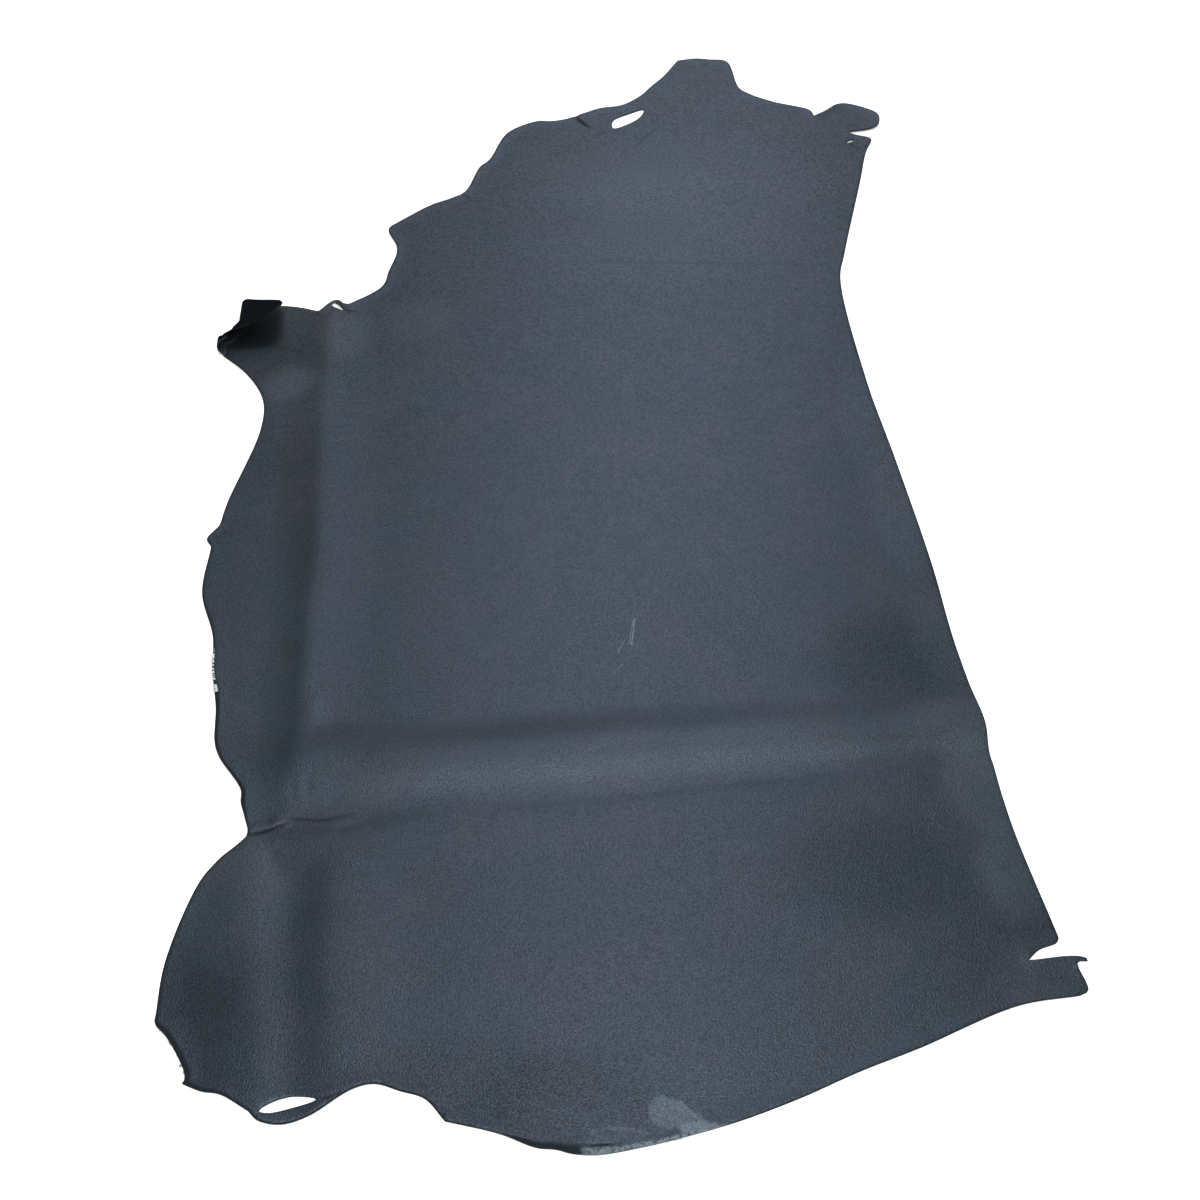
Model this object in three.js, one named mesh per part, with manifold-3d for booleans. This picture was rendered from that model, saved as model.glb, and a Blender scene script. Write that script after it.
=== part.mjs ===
// A leather side: half of a tanned cattle hide, cut along the backbone, laid grain side up.
// It is one piece of leather, cut flat to the outline of the hide and then laid with the folds it was
// shipped in: a fold across the body, a fold along the belly, and the fore shank rolled over.
// Millimetres, +Z up. +Y runs up the back to the neck, +X points from the belly to the back.
import * as THREE from "three";
import { mergeVertices } from "three/addons/utils/BufferGeometryUtils.js";
import Module from "manifold-3d";

// Driving dimensions
const THICKNESS = 3; // 7 to 8 ounce leather
const KNIFE_DEPTH = 20; // how far the cutting prism passes the sheet on each face
const HOLE_STEP = 8; // length of a straight piece on the rim of a hole
const COLOUR = 0x22262d;
const ROUGHNESS = 0.55;
const JOIN_GAP = 1e-4; // corners closer than this are one corner

// The outline, clockwise from the neck end of the back. Places on the flat hide are given as `along`,
// from the butt up the back, and `out`, from the back line towards the belly. A stretch is one smooth
// edge through its places, up to the first place of the next stretch. Its edge stands up by `lift`,
// which fades out over `reach`. `step` is the length of its straight pieces.
const OUTLINE = [
  {
    edge: "back", step: 45, lift: 0, reach: 40,
    places: [
      [1916, -164], [1881, -145], [1781, -110], [1556, -29], [1481, -5], [1207, 7], [1017, 1], [798, -3],
      [658, 1], [513, -2], [463, 2], [349, 3],
    ],
  },
  {
    edge: "tail slit", step: 9, lift: 0, reach: 25,
    places: [[199, -10], [193, -6], [186, 19]],
  },
  {
    edge: "tail tongue, far side", step: 10, lift: 1.5, reach: 14,
    places: [[174, 37], [174, -24], [169, -37]],
  },
  {
    edge: "tail tongue, end", step: 10, lift: 1, reach: 14,
    places: [[166, -36], [166, -23], [131, -25]],
  },
  {
    edge: "butt", step: 19, lift: 3, reach: 30,
    places: [
      [125, -12], [120, 66], [82, 198], [62, 275], [39, 351], [21, 424], [11, 481], [4, 533], [0, 590],
      [4, 619], [10, 637], [14, 659], [33, 701],
    ],
  },
  {
    edge: "hock", step: 14, lift: 2, reach: 30,
    places: [[52, 762], [79, 785], [90, 813], [101, 844], [97, 870], [73, 917], [66, 950], [73, 977]],
  },
  {
    edge: "hind shank, near side", step: 16, lift: 2, reach: 30,
    places: [[84, 988], [106, 1023], [111, 1044]],
  },
  {
    edge: "hind shank, end", step: 14, lift: 2.5, reach: 30,
    places: [[122, 1068], [129, 1065], [179, 1093], [192, 1106]],
  },
  {
    edge: "flank", step: 20, lift: 1, reach: 35,
    places: [[199, 1109], [273, 1105], [375, 1073], [402, 1052], [435, 1018]],
  },
  {
    edge: "belly", step: 24, lift: 1, reach: 45,
    places: [
      [462, 1023], [483, 1029], [498, 1029], [554, 1064], [583, 1074], [639, 1078], [703, 1089],
      [763, 1094], [846, 1118],
    ],
  },
  {
    edge: "belly tab", step: 9, lift: 2, reach: 20,
    places: [[936, 1113], [951, 1121]],
  },
  {
    edge: "elbow", step: 22, lift: 1, reach: 35,
    places: [[977, 1104], [1025, 1096], [1184, 1055], [1256, 1056], [1322, 1088]],
  },
  {
    edge: "fore shank, near corner", step: 7, lift: 0, reach: 20,
    places: [[1378, 1137]],
  },
  {
    edge: "fore shank, hooked tongue", step: 6, lift: 0, reach: 20,
    places: [[1387, 1176], [1395, 1176]],
  },
  {
    edge: "fore shank, end", step: 8, lift: 0, reach: 20,
    places: [[1403, 1148], [1410, 1156]],
  },
  {
    edge: "fore shank, far side", step: 10, lift: 0, reach: 20,
    places: [
      [1473, 1204], [1481, 1208], [1488, 1203], [1489, 1190], [1488, 1150], [1493, 1093], [1501, 1045],
      [1490, 996],
    ],
  },
  {
    edge: "loop", step: 6, lift: 3, reach: 16,
    places: [[1475, 968], [1501, 942], [1501, 933], [1492, 924]],
  },
  {
    edge: "brisket", step: 18, lift: 2, reach: 25,
    places: [[1490, 916], [1537, 855], [1581, 843], [1630, 829], [1657, 829], [1706, 845]],
  },
  {
    edge: "throat", step: 20, lift: 2, reach: 25,
    places: [
      [1718, 840], [1777, 763], [1797, 721], [1816, 693], [1897, 660], [1920, 640], [2016, 595],
      [2051, 530], [2048, 505], [2053, 471],
    ],
  },
  {
    edge: "throat, past its nick", step: 18, lift: 2, reach: 25,
    places: [[2070, 434], [2087, 396], [2095, 346], [2127, 302], [2162, 274], [2197, 244]],
  },
  {
    edge: "neck", step: 16, lift: 2, reach: 30,
    places: [
      [2260, 203], [2265, 162], [2258, 129], [2248, 94], [2138, 82], [2116, 67], [2079, 20], [2038, -56],
    ],
  },
  {
    edge: "cheek", step: 12, lift: 3, reach: 25,
    places: [
      [2015, -61], [2034, -91], [2053, -116], [2055, -138], [2017, -195], [1994, -199], [1967, -187],
      [1957, -168],
    ],
  },
  {
    edge: "cheek slit", step: 9, lift: 2, reach: 15,
    places: [[1951, -120], [1941, -131], [1925, -162]],
  },
];

// Holes through the hide, each a smooth closed rim through its places (along, out)
const HOLES = [
  { hole: "throat", places: [[2012, 372], [2041, 370], [2064, 333], [2076, 301], [2048, 312], [2021, 346]] },
  { hole: "hind shank", places: [[83, 976], [91, 963], [96, 939], [90, 910], [83, 941], [80, 965]] },
  { hole: "cheek", places: [[1913, -108], [1922, -119], [1923, -130], [1916, -120]] },
  { hole: "loop", places: [[1489, 946], [1495, 941], [1484, 929], [1475, 924], [1482, 937]] },
];

// The fold across the body, a row for each section from the back to the belly: a soft ridge that rises
// from `foot` to `crest`, falls to the `crease` and is followed by a low swell that ends at `end`
const BODY_FOLD = [
  { out: -30, foot: 585, crest: 507, crease: 460, end: 400, height: 10, swell: 2 },
  { out: 120, foot: 580, crest: 502, crease: 460, end: 400, height: 10, swell: 2 },
  { out: 320, foot: 590, crest: 514, crease: 457, end: 390, height: 13, swell: 4 },
  { out: 540, foot: 597, crest: 518, crease: 453, end: 370, height: 14, swell: 3 },
  { out: 760, foot: 597, crest: 521, crease: 457, end: 355, height: 13, swell: 3 },
  { out: 900, foot: 607, crest: 535, crease: 445, end: 350, height: 12, swell: 4 },
  { out: 1040, foot: 605, crest: 522, crease: 442, end: 380, height: 9, swell: 2 },
];
const SWELL_CREST = 0.3; // where the swell is highest, as a share of its breadth from the crease

// The fold along the belly, a row for each section from the crease of the body fold to the fore shank:
// a ridge that stands on `out`, with its feet on the back and the belly side of it
const BELLY_FOLD = [
  { along: 440, out: 962, height: 0, backFoot: 50, bellyFoot: 40 },
  { along: 500, out: 960, height: 2, backFoot: 60, bellyFoot: 45 },
  { along: 560, out: 958, height: 5, backFoot: 80, bellyFoot: 50 },
  { along: 740, out: 953, height: 6.5, backFoot: 90, bellyFoot: 60 },
  { along: 900, out: 947, height: 6.5, backFoot: 100, bellyFoot: 65 },
  { along: 1250, out: 951, height: 6, backFoot: 100, bellyFoot: 55 },
  { along: 1400, out: 951, height: 5.5, backFoot: 90, bellyFoot: 50 },
  { along: 1520, out: 948, height: 3, backFoot: 60, bellyFoot: 40 },
];
const RIDGE_ROUND = 14; // how far the top of that ridge is rounded on each side

// The same fold on the hind leg, where it turns over: a crease at `out` between two humps
const LEG_FOLD = [
  {
    along: 60, out: 936,
    backCrest: 48, backFoot: 140, backHeight: 1.7,
    bellyCrest: 44, bellyFoot: 120, bellyHeight: 1.7,
  },
  {
    along: 150, out: 943,
    backCrest: 50, backFoot: 155, backHeight: 2.8,
    bellyCrest: 48, bellyFoot: 130, bellyHeight: 2.8,
  },
  {
    along: 300, out: 953,
    backCrest: 54, backFoot: 165, backHeight: 3.6,
    bellyCrest: 54, bellyFoot: 140, bellyHeight: 3.6,
  },
  {
    along: 400, out: 958,
    backCrest: 60, backFoot: 155, backHeight: 3.4,
    bellyCrest: 58, bellyFoot: 120, bellyHeight: 4,
  },
  {
    along: 450, out: 962,
    backCrest: 60, backFoot: 120, backHeight: 1,
    bellyCrest: 40, bellyFoot: 70, bellyHeight: 1,
  },
];

// The rolled fore shank, a row for each section: where the roll starts, its inner radius, how far it
// turns, and how much the free flap leans towards the butt per millimetre of flap
const SHANK_ROLL = [
  { along: 1370, out: 1128, radius: 12, turn: 120, lean: 0 },
  { along: 1400, out: 1128, radius: 12, turn: 175, lean: 0 },
  { along: 1416, out: 1105, radius: 13, turn: 170, lean: 0.2 },
  { along: 1440, out: 1091, radius: 14, turn: 165, lean: 0.4 },
  { along: 1500, out: 1090, radius: 14, turn: 165, lean: 0.45 },
];

// Cutting grid of the sheet: the distance between its lines up to each limit, finer where it bends
const ALONG_GRID = [
  { upTo: -20, spacing: 60 },
  { upTo: 370, spacing: 43 },
  { upTo: 610, spacing: 15 },
  { upTo: 1370, spacing: 64 },
  { upTo: 1530, spacing: 12 },
  { upTo: 2290, spacing: 76 },
];
const OUT_GRID = [
  { upTo: -220, spacing: 60 },
  { upTo: 770, spacing: 62 },
  { upTo: 1090, spacing: 18 },
  { upTo: 1180, spacing: 7.5 },
  { upTo: 1225, spacing: 22.5 },
];

const wasm = await Module();
wasm.setup();

// A closed geometry as a solid that can be cut
function solidOf(geometry) {
  const bare = geometry.clone();
  bare.deleteAttribute("normal");
  bare.deleteAttribute("uv");
  const merged = mergeVertices(bare, JOIN_GAP);
  return new wasm.Manifold(new wasm.Mesh({
    numProp: 3,
    vertProperties: Float32Array.from(merged.attributes.position.array),
    triVerts: Uint32Array.from(merged.index.array),
  }));
}

// A place on the hide as a point of the flat sheet
function flatPoint([along, out]) {
  return new THREE.Vector3(-out, along, 0);
}

// The corners of the straight pieces along a smooth edge, from its start to its end
function smoothEdge(points, closed, step) {
  const curve = new THREE.CatmullRomCurve3(points, closed, "centripetal");
  const pieces = Math.max(points.length - 1, Math.ceil(curve.getLength() / step));
  return curve.getSpacedPoints(pieces);
}

// The edges of the outline, each from its first place to the first place of the next one
const edges = OUTLINE.map((stretch, index) => {
  const next = OUTLINE[(index + 1) % OUTLINE.length];
  const points = [...stretch.places, next.places[0]].map(flatPoint);
  return { ...stretch, corners: smoothEdge(points, false, stretch.step) };
});

// The value of a table's column at a station, smooth between its rows and level past its ends
function columnAt(table, station, column, value) {
  const last = table.length - 1;
  if (value <= table[0][station]) return table[0][column];
  if (value >= table[last][station]) return table[last][column];
  const upper = table.findIndex((row) => row[station] > value);
  const from = table[upper - 1];
  const to = table[upper];
  const part = THREE.MathUtils.smoothstep(value, from[station], to[station]);
  return THREE.MathUtils.lerp(from[column], to[column], part);
}

// Cross-sections of a fold, from 1 on its crest to 0 at its foot
const softSlope = (part) => (part >= 1 ? 0 : 0.5 + 0.5 * Math.cos(Math.PI * part));
const creasedSlope = (part) => (part >= 1 ? 0 : (1 - part) ** 2);

// A hump that rises from its start, is highest at `crest` and runs out at `foot`
function hump(offset, crest, foot) {
  if (offset < crest) return softSlope(1 - offset / crest);
  return softSlope((offset - crest) / (foot - crest));
}

function bodyFoldLift(along, out) {
  const at = (column) => columnAt(BODY_FOLD, "out", column, out);
  const crest = at("crest");
  const crease = at("crease");
  if (along >= crest) return at("height") * softSlope((along - crest) / (at("foot") - crest));
  if (along >= crease) return at("height") * softSlope((crest - along) / (crest - crease));
  const breadth = crease - at("end");
  return at("swell") * hump(crease - along, SWELL_CREST * breadth, breadth);
}

function bellyFoldLift(along, out) {
  const at = (column) => columnAt(BELLY_FOLD, "along", column, along);
  const offset = out - at("out");
  const foot = offset > 0 ? at("bellyFoot") : at("backFoot");
  const distance = Math.hypot(offset, RIDGE_ROUND) - RIDGE_ROUND;
  return at("height") * creasedSlope(distance / foot);
}

function legFoldLift(along, out) {
  if (along > LEG_FOLD[LEG_FOLD.length - 1].along) return 0;
  const at = (column) => columnAt(LEG_FOLD, "along", column, along);
  const offset = out - at("out");
  if (offset > 0) return at("bellyHeight") * hump(offset, at("bellyCrest"), at("bellyFoot"));
  return at("backHeight") * hump(-offset, at("backCrest"), at("backFoot"));
}

// How far the edges stand up near a place
function edgeLift(along, out) {
  const place = flatPoint([along, out]);
  const piece = new THREE.Line3();
  const nearest = new THREE.Vector3();
  let lift = 0;
  for (const { corners, lift: edgeHeight, reach } of edges) {
    let distance = reach;
    for (let index = 1; index < corners.length; index += 1) {
      piece.set(corners[index - 1], corners[index]).closestPointToPoint(place, true, nearest);
      distance = Math.min(distance, nearest.distanceTo(place));
    }
    lift = Math.max(lift, edgeHeight * creasedSlope(distance / reach));
  }
  return lift;
}

// The flat sheet bent to the way it lies. `height` is measured through the leather, from its flesh side.
function layDown(point) {
  const along = point.y;
  const out = -point.x;
  const height = point.z;
  const at = (column) => columnAt(SHANK_ROLL, "along", column, along);
  const past = out - at("out");
  if (along > SHANK_ROLL[0].along && past > 0) {
    const centre = at("radius") + THICKNESS;
    const middle = centre - THICKNESS / 2;
    const turn = THREE.MathUtils.degToRad(at("turn"));
    const angle = Math.min(past / middle, turn);
    const flap = Math.max(0, past - middle * turn);
    const rolledOut = at("out") + (centre - height) * Math.sin(angle) + flap * Math.cos(turn);
    const rolledUp = centre - (centre - height) * Math.cos(angle) + flap * Math.sin(turn);
    point.set(-rolledOut, along - flap * at("lean"), rolledUp);
    return;
  }
  const folds = Math.max(bodyFoldLift(along, out), legFoldLift(along, out)) + bellyFoldLift(along, out);
  point.z = height + folds + edgeLift(along, out);
}

// The lines of a cutting grid, from the first limit to the last
function gridLines(grid) {
  const lines = [grid[0].upTo];
  for (let index = 1; index < grid.length; index += 1) {
    const start = grid[index - 1].upTo;
    const count = Math.round((grid[index].upTo - start) / grid[index].spacing);
    for (let line = 1; line <= count; line += 1) {
      lines.push(start + ((grid[index].upTo - start) * line) / count);
    }
  }
  return lines;
}

// A flat slab with the lines of the two grids on both faces
function griddedSlab() {
  const alongLines = gridLines(ALONG_GRID);
  const outLines = gridLines(OUT_GRID);
  const columns = outLines.length - 1;
  const rows = alongLines.length - 1;
  const slab = new THREE.BoxGeometry(columns, rows, THICKNESS, columns, rows, 1);
  const position = slab.attributes.position;
  for (let index = 0; index < position.count; index += 1) {
    const column = Math.round(columns / 2 - position.getX(index));
    const row = Math.round(position.getY(index) + rows / 2);
    position.setXYZ(index, -outLines[column], alongLines[row], position.getZ(index) + THICKNESS / 2);
  }
  return slab;
}

// The knife: a prism of the outline with its holes, deeper than the sheet
function knifePrism() {
  const loop = (corners) => corners.slice(0, -1).map((corner) => new THREE.Vector2(corner.x, corner.y));
  const anticlockwise = edges.flatMap(({ corners }) => loop(corners)).reverse();
  const shape = new THREE.Shape(anticlockwise);
  for (const { places } of HOLES) {
    const rim = smoothEdge(places.map(flatPoint), true, HOLE_STEP);
    shape.holes.push(new THREE.Path(loop(rim)));
  }
  const prism = new THREE.ExtrudeGeometry(shape, { depth: THICKNESS + 2 * KNIFE_DEPTH, bevelEnabled: false });
  return prism.translate(0, 0, -KNIFE_DEPTH);
}

// The sheet cut flat, then laid with its folds and centred over the origin
function leatherSide() {
  const cut = solidOf(griddedSlab()).intersect(solidOf(knifePrism())).getMesh();
  const geometry = new THREE.BufferGeometry();
  geometry.setAttribute("position", new THREE.Float32BufferAttribute(cut.vertProperties, 3));
  geometry.setIndex(new THREE.Uint32BufferAttribute(cut.triVerts, 1));
  const position = geometry.attributes.position;
  const point = new THREE.Vector3();
  for (let index = 0; index < position.count; index += 1) {
    point.fromBufferAttribute(position, index);
    layDown(point);
    position.setXYZ(index, point.x, point.y, point.z);
  }
  geometry.computeBoundingBox();
  const centre = geometry.boundingBox.getCenter(new THREE.Vector3());
  geometry.translate(-centre.x, -centre.y, -geometry.boundingBox.min.z);
  geometry.computeVertexNormals();
  const material = new THREE.MeshStandardMaterial({ color: COLOUR, roughness: ROUGHNESS, metalness: 0 });
  const mesh = new THREE.Mesh(geometry, material);
  mesh.name = "leather_side";
  return mesh;
}

const group = new THREE.Group();
group.add(leatherSide());

export default group;
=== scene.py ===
import math

import bpy
import numpy as np
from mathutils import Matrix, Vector
from mathutils.geometry import delaunay_2d_cdt


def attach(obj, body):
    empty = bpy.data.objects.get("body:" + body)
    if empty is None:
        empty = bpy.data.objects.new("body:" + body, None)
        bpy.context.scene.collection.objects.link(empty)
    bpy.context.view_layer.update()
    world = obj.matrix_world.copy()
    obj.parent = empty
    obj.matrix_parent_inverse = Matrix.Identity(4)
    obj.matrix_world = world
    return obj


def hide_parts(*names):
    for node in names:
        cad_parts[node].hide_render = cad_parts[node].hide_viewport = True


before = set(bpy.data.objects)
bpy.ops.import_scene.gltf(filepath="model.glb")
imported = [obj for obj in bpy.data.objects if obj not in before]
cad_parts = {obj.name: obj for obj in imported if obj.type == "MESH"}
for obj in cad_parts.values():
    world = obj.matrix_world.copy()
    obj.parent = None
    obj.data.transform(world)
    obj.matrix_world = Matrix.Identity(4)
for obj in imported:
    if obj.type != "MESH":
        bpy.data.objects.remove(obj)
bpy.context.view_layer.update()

# The side
# Half of a cattle hide, cut with a knife along the back, tanned, dyed through to a blue-black and finished
# with a soft sheen on its grain. It lies grain side up, with the folds that it was shipped in still in it.
MM = 0.001
THICKNESS = 3.0
EDGE_ROUND = 0.7  # the knife's edge, worn round on both faces
OUTLINE_STEP = 5.0
HOLE_STEP = 2.5
SPAN_PARTS = 60  # how finely a curve is worked out between two of its places
CENTRE_ALONG = 1132.3  # the middle of the side, which is the origin of the frame
CENTRE_OUT = 471.75

# The outline, clockwise from the neck end of the back, in millimetres on the flat hide. A place is how far it
# is along the back from the butt, and how far out from the back line towards the belly. Each edge stands up
# by `lift`, which fades over `reach`.
OUTLINE = [
    {
        "edge": "back", "lift": 0, "reach": 40,
        "places": [
            (1916, -164), (1881, -145), (1781, -110), (1556, -29), (1481, -5), (1207, 7), (1017, 1),
            (798, -3), (658, 1), (513, -2), (463, 2), (349, 3),
        ],
    },
    {"edge": "tail slit", "lift": 0, "reach": 25, "places": [(199, -10), (193, -6), (186, 19)]},
    {
        "edge": "tail tongue, far side", "lift": 1.5, "reach": 14,
        "places": [(174, 37), (174, -24), (169, -37)],
    },
    {"edge": "tail tongue, end", "lift": 1, "reach": 14, "places": [(166, -36), (166, -23), (131, -25)]},
    {
        "edge": "butt", "lift": 3, "reach": 30,
        "places": [
            (125, -12), (120, 66), (82, 198), (62, 275), (39, 351), (21, 424), (11, 481), (4, 533), (0, 590),
            (4, 619), (10, 637), (14, 659), (33, 701),
        ],
    },
    {
        "edge": "hock", "lift": 2, "reach": 30,
        "places": [
            (52, 762), (79, 785), (90, 813), (101, 844), (97, 870), (73, 917), (66, 950), (73, 977),
        ],
    },
    {
        "edge": "hind shank, near side", "lift": 2, "reach": 30,
        "places": [(84, 988), (106, 1023), (111, 1044)],
    },
    {
        "edge": "hind shank, end", "lift": 2.5, "reach": 30,
        "places": [(122, 1068), (129, 1065), (179, 1093), (192, 1106)],
    },
    {
        "edge": "flank", "lift": 1, "reach": 35,
        "places": [(199, 1109), (273, 1105), (375, 1073), (402, 1052), (435, 1018)],
    },
    {
        "edge": "belly", "lift": 1, "reach": 45,
        "places": [
            (462, 1023), (483, 1029), (498, 1029), (554, 1064), (583, 1074), (639, 1078), (703, 1089),
            (763, 1094), (846, 1118),
        ],
    },
    {"edge": "belly tab", "lift": 2, "reach": 20, "places": [(936, 1113), (951, 1121)]},
    {
        "edge": "elbow", "lift": 1, "reach": 35,
        "places": [(977, 1104), (1025, 1096), (1184, 1055), (1256, 1056), (1322, 1088)],
    },
    {"edge": "fore shank, near corner", "lift": 0, "reach": 20, "places": [(1378, 1137)]},
    {"edge": "fore shank, hooked tongue", "lift": 0, "reach": 20, "places": [(1387, 1176), (1395, 1176)]},
    {"edge": "fore shank, end", "lift": 0, "reach": 20, "places": [(1403, 1148), (1410, 1156)]},
    {
        "edge": "fore shank, far side", "lift": 0, "reach": 20,
        "places": [
            (1473, 1204), (1481, 1208), (1488, 1203), (1489, 1190), (1488, 1150), (1493, 1093), (1501, 1045),
            (1490, 996),
        ],
    },
    {"edge": "loop", "lift": 3, "reach": 16, "places": [(1475, 968), (1501, 942), (1501, 933), (1492, 924)]},
    {
        "edge": "brisket", "lift": 2, "reach": 25,
        "places": [(1490, 916), (1537, 855), (1581, 843), (1630, 829), (1657, 829), (1706, 845)],
    },
    {
        "edge": "throat", "lift": 2, "reach": 25,
        "places": [
            (1718, 840), (1777, 763), (1797, 721), (1816, 693), (1897, 660), (1920, 640), (2016, 595),
            (2051, 530), (2048, 505), (2053, 471),
        ],
    },
    {
        "edge": "throat, past its nick", "lift": 2, "reach": 25,
        "places": [(2070, 434), (2087, 396), (2095, 346), (2127, 302), (2162, 274), (2197, 244)],
    },
    {
        "edge": "neck", "lift": 2, "reach": 30,
        "places": [
            (2260, 203), (2265, 162), (2258, 129), (2248, 94), (2138, 82), (2116, 67), (2079, 20),
            (2038, -56),
        ],
    },
    {
        "edge": "cheek", "lift": 3, "reach": 25,
        "places": [
            (2015, -61), (2034, -91), (2053, -116), (2055, -138), (2017, -195), (1994, -199), (1967, -187),
            (1957, -168),
        ],
    },
    {"edge": "cheek slit", "lift": 2, "reach": 15, "places": [(1951, -120), (1941, -131), (1925, -162)]},
]

# Holes through the hide, each a smooth closed rim
HOLES = {
    "throat": [(2012, 372), (2041, 370), (2064, 333), (2076, 301), (2048, 312), (2021, 346)],
    "hind shank": [(83, 976), (91, 963), (96, 939), (90, 910), (83, 941), (80, 965)],
    "cheek": [(1913, -108), (1922, -119), (1923, -130), (1916, -120)],
    "loop": [(1489, 946), (1495, 941), (1484, 929), (1475, 924), (1482, 937)],
}


def table(columns, *rows):
    """The rows of a table, each by the names of the columns."""
    return [dict(zip(columns.split(), row)) for row in rows]


# The fold across the body, section by section from the back to the belly: a soft ridge that rises from `foot`
# to `crest`, falls to the `crease`, and is followed by a low swell up to `end`
BODY_FOLD = table(
    "out foot crest crease end height swell",
    (-30, 585, 507, 460, 400, 10, 2),
    (120, 580, 502, 460, 400, 10, 2),
    (320, 590, 514, 457, 390, 13, 4),
    (540, 597, 518, 453, 370, 14, 3),
    (760, 597, 521, 457, 355, 13, 3),
    (900, 607, 535, 445, 350, 12, 4),
    (1040, 605, 522, 442, 380, 9, 2),
)
SWELL_CREST = 0.3  # where the swell is highest, as a share of its breadth from the crease

# The fold along the belly: a ridge on `out`, with its feet on the back and the belly side of it
BELLY_FOLD = table(
    "along out height back_foot belly_foot",
    (440, 962, 0, 50, 40),
    (500, 960, 2, 60, 45),
    (560, 958, 5, 80, 50),
    (740, 953, 6.5, 90, 60),
    (900, 947, 6.5, 100, 65),
    (1250, 951, 6, 100, 55),
    (1400, 951, 5.5, 90, 50),
    (1520, 948, 3, 60, 40),
)
RIDGE_ROUND = 14.0  # how far the top of that ridge is rounded on each side

# The same fold on the hind leg, where it turns over: a crease at `out` between two humps
LEG_FOLD = table(
    "along out back_crest back_foot back_height belly_crest belly_foot belly_height",
    (60, 936, 48, 140, 1.7, 44, 120, 1.7),
    (150, 943, 50, 155, 2.8, 48, 130, 2.8),
    (300, 953, 54, 165, 3.6, 54, 140, 3.6),
    (400, 958, 60, 155, 3.4, 58, 120, 4),
    (450, 962, 60, 120, 1, 40, 70, 1),
)

# The rolled fore shank: where the roll starts, its inner radius, how far it turns, and how much the free flap
# leans towards the butt per millimetre of flap
SHANK_ROLL = table(
    "along out radius turn lean",
    (1370, 1128, 12, 120, 0),
    (1400, 1128, 12, 175, 0),
    (1416, 1105, 13, 170, 0.2),
    (1440, 1091, 14, 165, 0.4),
    (1500, 1090, 14, 165, 0.45),
)

# Sharp small creases, each a trough through its places. `dark` is how far the finish has cracked in it,
# together with painted shade that makes its bottom dark and matt.
CREASES = [
    {
        "crease": "old neck fold", "width": 8, "depth": 1.4, "dark": 0.3,
        "places": [(1590, 620), (1571, 442), (1551, 252), (1519, -22)],
    },
    {
        "crease": "neck tab", "width": 8, "depth": 1.2, "dark": 0.3,
        "places": [(2166, 232), (2176, 160), (2172, 97)],
    },
    {
        "crease": "below the throat", "width": 5, "depth": 1.6, "dark": 0.55,
        "places": [(2004, 275), (1970, 310), (1938, 336)],
    },
    {
        "crease": "throat nick", "width": 11, "depth": 3.0, "dark": 0.95,
        "places": [(2066, 450), (2040, 438), (2014, 420)],
    },
    {
        "crease": "throat step", "width": 4, "depth": 1.4, "dark": 0.7,
        "places": [(1809, 706), (1800, 692), (1791, 676)],
    },
    {
        "crease": "loop", "width": 5, "depth": 1.4, "dark": 0.8,
        "places": [(1484, 932), (1475, 920), (1470, 903)],
    },
    {
        "crease": "hind shank hole", "width": 5, "depth": 1.5, "dark": 0.7,
        "places": [(92, 908), (92, 892), (99, 874)],
    },
    {
        "crease": "knee", "width": 6, "depth": 3.5, "dark": 0.9,
        "places": [(434, 1022), (438, 990), (448, 966)],
    },
    {
        "crease": "end of the body fold", "width": 6, "depth": 2.5, "dark": 0.7,
        "places": [(455, 974), (450, 945), (447, 915), (452, 880)],
    },
    {
        "crease": "crumple, back side", "width": 12, "depth": 0.5, "dark": 0.1,
        "places": [(514, 934), (496, 940), (478, 936)],
    },
    {
        "crease": "crumple, belly side", "width": 12, "depth": 0.5, "dark": 0.1,
        "places": [(508, 957), (490, 960), (472, 953)],
    },
    {
        "crease": "cheek", "width": 4, "depth": 1.2, "dark": 0.8,
        "places": [(1920, -108), (1893, -128), (1884, -143)],
    },
    {
        "crease": "slit in the butt", "width": 4, "depth": 3.0, "dark": 1.0,
        "places": [(13, 610), (11, 592), (10, 566)],
    },
]
CREASE_END = 0.04  # the share of a crease at each end over which it fades no further

# Low swells of the hide, by their middle and reach
SWELLS = table(
    "along out along_reach out_reach height",
    (1859, 353, 60, 150, 1.6),
    (1662, 355, 70, 130, 1.4),
    (1184, 504, 60, 120, 1.2),
    (1422, 767, 60, 60, 1.5),
    (1301, 1021, 40, 45, 2.0),
    (620, 941, 24, 16, 1.8),
    (450, 974, 9, 12, 2.2),
    (412, 135, 30, 60, 2.0),
    (396, 49, 30, 40, 1.8),
    (294, 31, 60, 40, 1.6),
)

# Soft patches, by their middle and reach: where the hide is dusty or rubbed, and where the finish has sunk in
DUSTY_PATCHES = table(
    "along out along_reach out_reach share",
    (510, 40, 50, 80, 0.12),
    (425, 20, 75, 60, 0.22),
    (292, 24, 70, 45, 0.17),
    (152, 8, 55, 80, 0.1),
    (663, 18, 90, 45, 0.11),
    (901, 25, 120, 50, 0.12),
    (1114, 30, 140, 50, 0.08),
    (500, 290, 50, 140, 0.06),
    (495, 500, 50, 460, 0.07),
    (352, 1035, 95, 80, 0.14),
    (760, 1045, 340, 75, 0.09),
    (1290, 1015, 45, 50, 0.16),
    (1255, 990, 90, 70, 0.08),
    (1404, 918, 70, 45, 0.15),
    (1437, 785, 60, 70, 0.09),
    (1788, 320, 80, 150, 0.06),
    (1810, 250, 150, 300, 0.08),
    (1610, 300, 110, 300, 0.06),
)
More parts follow.
